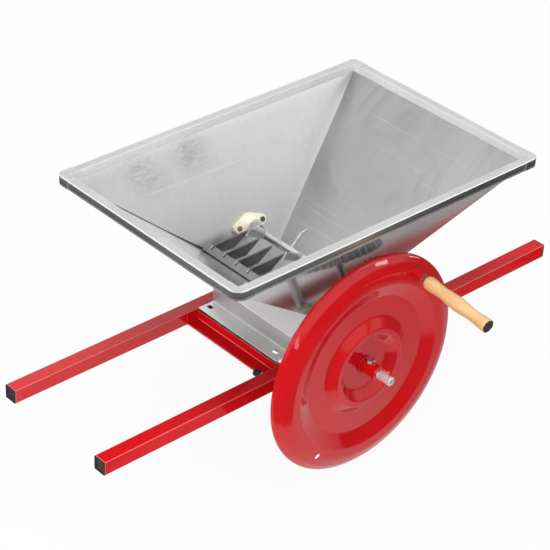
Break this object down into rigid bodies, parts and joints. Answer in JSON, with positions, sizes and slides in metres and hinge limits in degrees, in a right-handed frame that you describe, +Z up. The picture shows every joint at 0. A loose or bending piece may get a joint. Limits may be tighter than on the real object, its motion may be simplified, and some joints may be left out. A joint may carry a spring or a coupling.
{
  "type": "hand-cranked fruit mill",
  "caption": "Hand-cranked apple scratter: a flared steel hopper over a toothed rotor and geared agitator, on two rails, turned by a red flywheel with a wooden grip.",
  "frame": {"origin": "midway between the undersides of the two rails, below the middle of the hopper", "axes": "+X along the rails towards the hopper's long side, -Y towards the flywheel, +Z up"},
  "size_m": [1.209, 0.7379, 0.564],
  "materials": {
    "red_frame": "gloss red paint",
    "red_wheel": "high gloss red enamel",
    "black_plastic": "satin black",
    "cream_nylon": "cream nylon, softly glossy",
    "plate_steel": "rolled stainless sheet",
    "hopper_steel": "polished stainless sheet",
    "rim_steel": "satin rim channel",
    "comb_steel": "dull steel fins",
    "shaft_steel": "bright turned steel",
    "cast_steel": "dull machined iron",
    "zinc": "zinc-plated fasteners",
    "grip_wood": "varnished light wood"
  },
  "bodies": {
    "frame": {"front_rail": "red_frame", "rear_rail": "red_frame", "rail_end_plugs": "black_plastic", "left_cross_angle": "red_frame", "right_cross_angle": "red_frame", "stop_pad": "cream_nylon", "stop_bolt": "black_plastic", "left_base_plate": "plate_steel", "right_base_plate": "plate_steel", "front_cheek": "plate_steel", "rear_cheek": "plate_steel", "right_throat_plate": "plate_steel", "hopper_left_wall": "hopper_steel", "hopper_right_wall": "hopper_steel", "hopper_front_wall": "hopper_steel", "hopper_rear_wall": "hopper_steel", "rim_front": "rim_steel", "rim_rear": "rim_steel", "rim_left": "rim_steel", "rim_right": "rim_steel", "rim_corner_caps": "rim_steel", "comb_base": "comb_steel", "comb_fins": "comb_steel", "main_bearing_front": "cream_nylon", "main_bearing_rear": "cream_nylon", "main_bearing_bolts": "zinc", "agitator_bearing_front": "cream_nylon", "agitator_bearing_rear": "cream_nylon", "agitator_bearing_screws": "zinc"},
    "rotor": {"main_shaft": "shaft_steel", "rotor_drum": "cast_steel", "rotor_knives": "shaft_steel", "shaft_collars": "zinc", "pinion": "cast_steel", "flywheel_disc": "red_wheel", "flywheel_rim": "red_wheel", "flywheel_hub": "red_wheel", "hub_ring": "red_wheel", "hub_clamp_bolt": "zinc", "handle_boss": "red_wheel", "handle_spindle": "zinc", "spindle_nuts": "zinc"},
    "agitator": {"agitator_shaft": "shaft_steel", "agitator_paddles": "comb_steel", "agitator_spikes": "shaft_steel", "agitator_hex_collars": "zinc", "agitator_gear": "cast_steel", "gear_nut_washer": "zinc"},
    "grip": {"handle_grip": "grip_wood", "grip_cap": "black_plastic"}
  },
  "joints": [
    {"name": "rotor_spin", "type": "hinge", "parent": "frame", "child": "rotor", "pos_m": [-0.04, 0, 0.05], "axis": [0, 1, 0], "continuous": true},
    {"name": "agitator_spin", "type": "hinge", "parent": "frame", "child": "agitator", "pos_m": [-0.003, 0, 0.16678], "axis": [0, 1, 0], "continuous": true},
    {"name": "grip_spin", "type": "hinge", "parent": "rotor", "child": "grip", "pos_m": [0.06733, -0.37569, 0.21847], "axis": [0.0403, 0.9972, 0.0632], "continuous": true}
  ],
  "couplings": [
    {"joint": "agitator_spin", "follows": "rotor_spin", "ratio": -0.36111}
  ]
}
